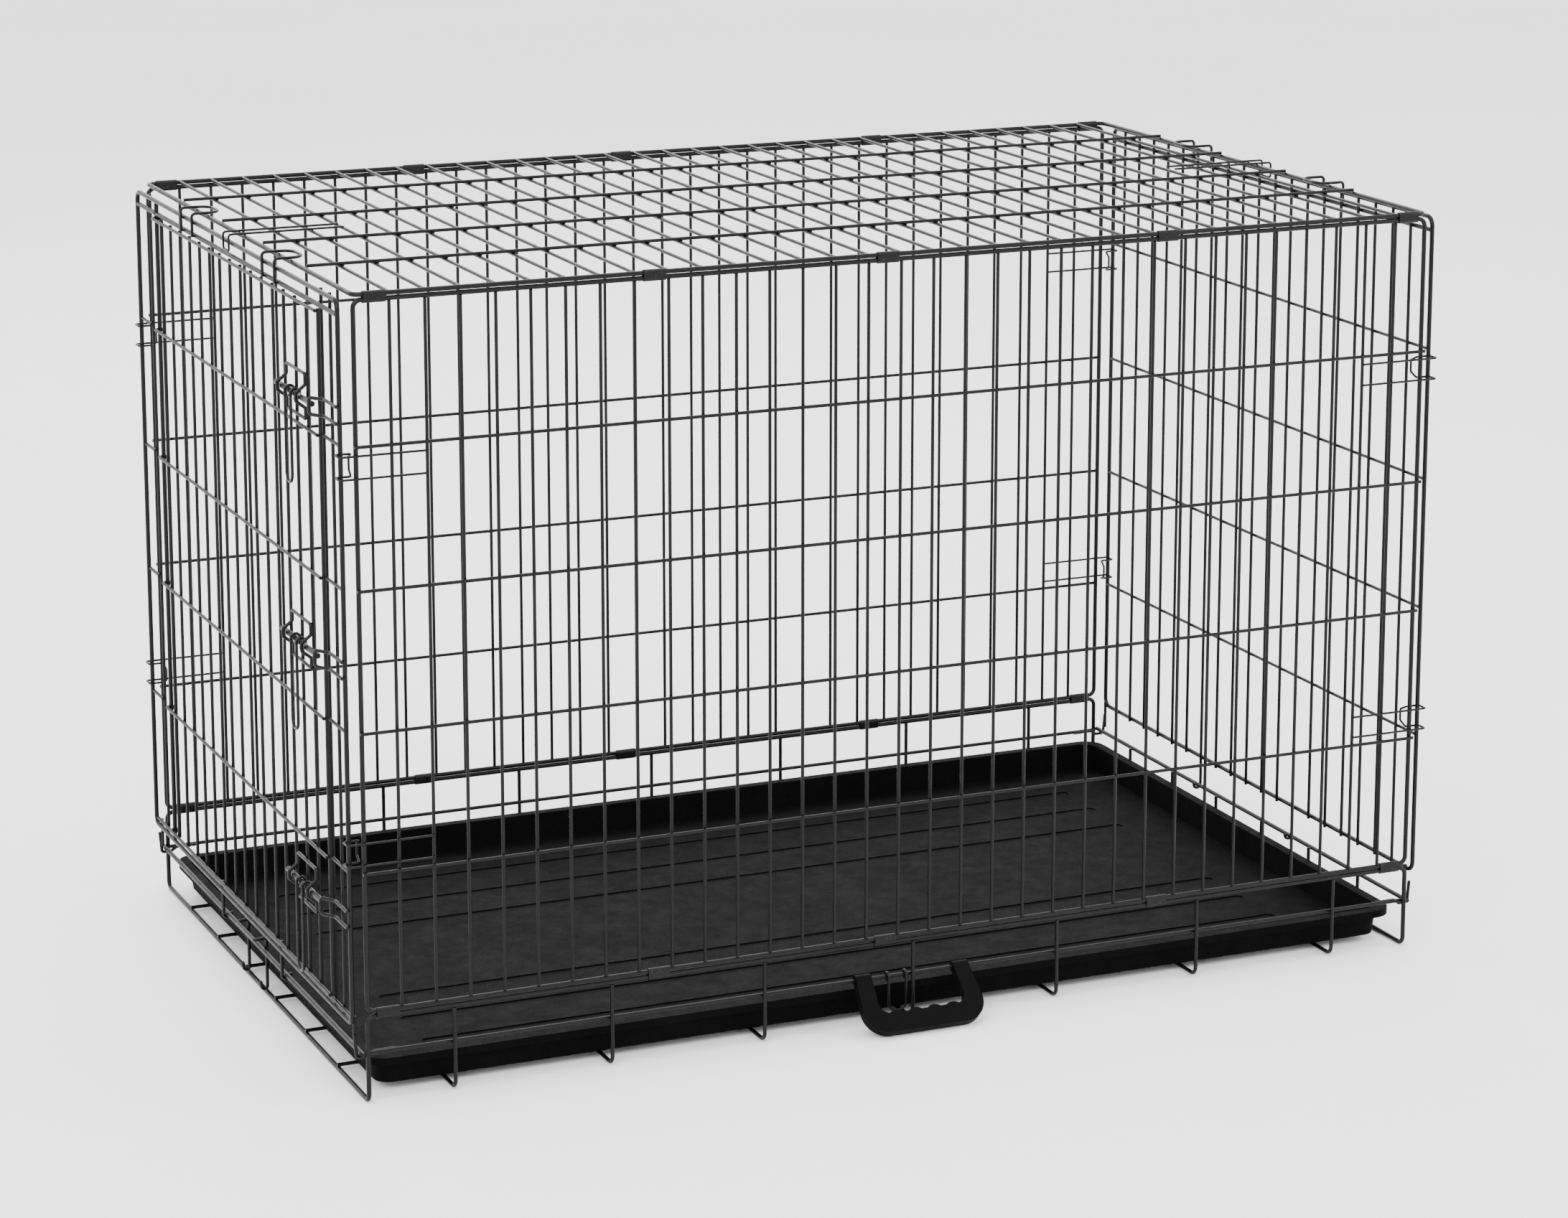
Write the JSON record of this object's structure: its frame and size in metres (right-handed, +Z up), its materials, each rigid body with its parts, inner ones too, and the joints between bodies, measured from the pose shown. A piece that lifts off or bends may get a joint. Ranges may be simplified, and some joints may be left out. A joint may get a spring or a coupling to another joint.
{
  "type": "folding wire dog crate",
  "caption": "Folding wire crate for a pet, with a side-hinged end door on slide bolts, a pull-out tray, hook-over end panels and a carry handle.",
  "frame": {"origin": "middle of the whole crate's box in X and Y, on the surface that it stands on", "axes": "+X along the crate, away from the door end; -Y is the long side that carries the handle; +Z up"},
  "size_m": [1.2642, 0.8015, 0.838],
  "materials": {
    "black_wire": "satin black electro-coat",
    "latch_wire": "satin black, worn where it slides",
    "spring_wire": "thin black-coated spring wire",
    "clip_steel": "crimped black sheet",
    "tray_plastic": "fine leather grain",
    "handle_plastic": "moulded, fine texture"
  },
  "bodies": {
    "base": {"base_frame": "black_wire", "base_cross_wires": "black_wire", "base_floor_wires": "black_wire", "base_side_rails": "black_wire", "left_hinge_wire": "black_wire", "right_hinge_wire": "black_wire", "corner_hooks": "black_wire"},
    "front_panel": {"front_frame": "black_wire", "front_uprights": "black_wire", "front_level_wires": "black_wire", "front_bottom_clips": "clip_steel", "front_corner_catches": "spring_wire"},
    "back_panel": {"back_frame": "black_wire", "back_uprights": "black_wire", "back_level_wires": "black_wire", "back_bottom_clips": "clip_steel", "back_corner_catches": "spring_wire"},
    "top_panel": {"top_frame": "black_wire", "top_cross_wires": "black_wire", "top_long_wires": "black_wire", "top_end_catches": "spring_wire", "front_top_clips": "clip_steel", "back_top_clips": "clip_steel"},
    "left_end": {"left_end_frame": "black_wire", "left_end_uprights": "black_wire", "left_end_stubs": "black_wire", "left_hinge_curls": "black_wire", "left_top_hooks": "black_wire", "door_lintel": "black_wire", "door_sill": "black_wire", "door_pivot_wire": "black_wire", "bolt_keepers": "black_wire"},
    "right_end": {"right_end_frame": "black_wire", "right_end_uprights": "black_wire", "right_end_level_wires": "black_wire", "right_end_lintel": "black_wire", "right_hinge_curls": "black_wire", "right_top_hooks": "black_wire"},
    "door": {"door_edge_wires": "black_wire", "door_uprights": "black_wire", "door_level_wires": "black_wire", "door_pivot_curls": "black_wire", "latch_brackets": "black_wire"},
    "tray": {"tray": "tray_plastic"},
    "tray_stop": {"tray_stop": "black_wire"},
    "carry_handle": {"carry_handle": "handle_plastic"},
    "fold_latch": {"fold_latch": "black_wire"},
    "upper_bolt": {"upper_bolt": "latch_wire"},
    "upper_latch_handle": {"upper_latch_handle": "latch_wire"},
    "middle_bolt": {"middle_bolt": "latch_wire"},
    "middle_latch_handle": {"middle_latch_handle": "latch_wire"},
    "lower_bolt": {"lower_bolt": "latch_wire"},
    "lower_latch_handle": {"lower_latch_handle": "latch_wire"}
  },
  "joints": [
    {"name": "side_fold", "type": "hinge", "parent": "base", "child": "front_panel", "pos_m": [0.0054, -0.35515, 0.092], "axis": [-1, 0, 0], "range_deg": [0, 85], "deforming": ["front_corner_catches", "back_corner_catches", "top_end_catches"]},
    {"name": "back_fold", "type": "hinge", "parent": "base", "child": "back_panel", "pos_m": [0.0054, 0.39465, 0.092], "axis": [-1, 0, 0], "range_deg": [0, 85]},
    {"name": "top_fold", "type": "hinge", "parent": "front_panel", "child": "top_panel", "pos_m": [0.0054, -0.35515, 0.8266], "axis": [-1, 0, 0], "range_deg": [-85, 0]},
    {"name": "right_end_fold", "type": "hinge", "parent": "base", "child": "right_end", "pos_m": [0.6174, 0.01975, 0.052], "axis": [0, -1, 0], "range_deg": [0, 90], "deforming": ["right_top_hooks"]},
    {"name": "left_end_fold", "type": "hinge", "parent": "base", "child": "left_end", "pos_m": [-0.6066, 0.01975, 0.052], "axis": [0, 1, 0], "range_deg": [0, 88.6], "deforming": ["left_top_hooks"]},
    {"name": "door_swing", "type": "hinge", "parent": "left_end", "child": "door", "pos_m": [-0.6155, 0.30925, 0.45], "axis": [0, 0, 1], "range_deg": [-165, 0]},
    {"name": "upper_bolt_slide", "type": "slide", "parent": "door", "child": "upper_bolt", "axis": [0, -1, 0], "range_m": [-0.003, 0.014]},
    {"name": "upper_handle_lift", "type": "hinge", "parent": "upper_bolt", "child": "upper_latch_handle", "pos_m": [-0.6251, -0.22475, 0.713], "axis": [0, -1, 0], "range_deg": [-120, 0]},
    {"name": "middle_bolt_slide", "type": "slide", "parent": "door", "child": "middle_bolt", "axis": [0, -1, 0], "range_m": [-0.003, 0.014]},
    {"name": "middle_handle_lift", "type": "hinge", "parent": "middle_bolt", "child": "middle_latch_handle", "pos_m": [-0.6251, -0.22475, 0.455], "axis": [0, -1, 0], "range_deg": [-120, 0]},
    {"name": "lower_bolt_slide", "type": "slide", "parent": "door", "child": "lower_bolt", "axis": [0, -1, 0], "range_m": [-0.003, 0.014]},
    {"name": "lower_handle_lift", "type": "hinge", "parent": "lower_bolt", "child": "lower_latch_handle", "pos_m": [-0.6251, -0.22475, 0.196], "axis": [0, -1, 0], "range_deg": [-120, 0]},
    {"name": "tray_slide", "type": "slide", "parent": "base", "child": "tray", "axis": [1, 0, 0], "range_m": [-1.15, 0], "deforming": ["tray_stop"]},
    {"name": "tray_stop_swing", "type": "hinge", "parent": "base", "child": "tray_stop", "pos_m": [-0.6066, 0.03175, 0.052], "axis": [0, -1, 0], "range_deg": [-100, 0]},
    {"name": "carry_handle_swing", "type": "hinge", "parent": "base", "child": "carry_handle", "pos_m": [0.0054, -0.35055, 0.052], "axis": [1, 0, 0], "range_deg": [-95, 0]},
    {"name": "fold_latch_swing", "type": "hinge", "parent": "base", "child": "fold_latch", "pos_m": [-0.01235, -0.35055, 0.052], "axis": [1, 0, 0], "range_deg": [-150, 0]}
  ],
  "couplings": [
    {"joint": "back_fold", "follows": "side_fold", "ratio": 1},
    {"joint": "top_fold", "follows": "side_fold", "ratio": -1}
  ]
}
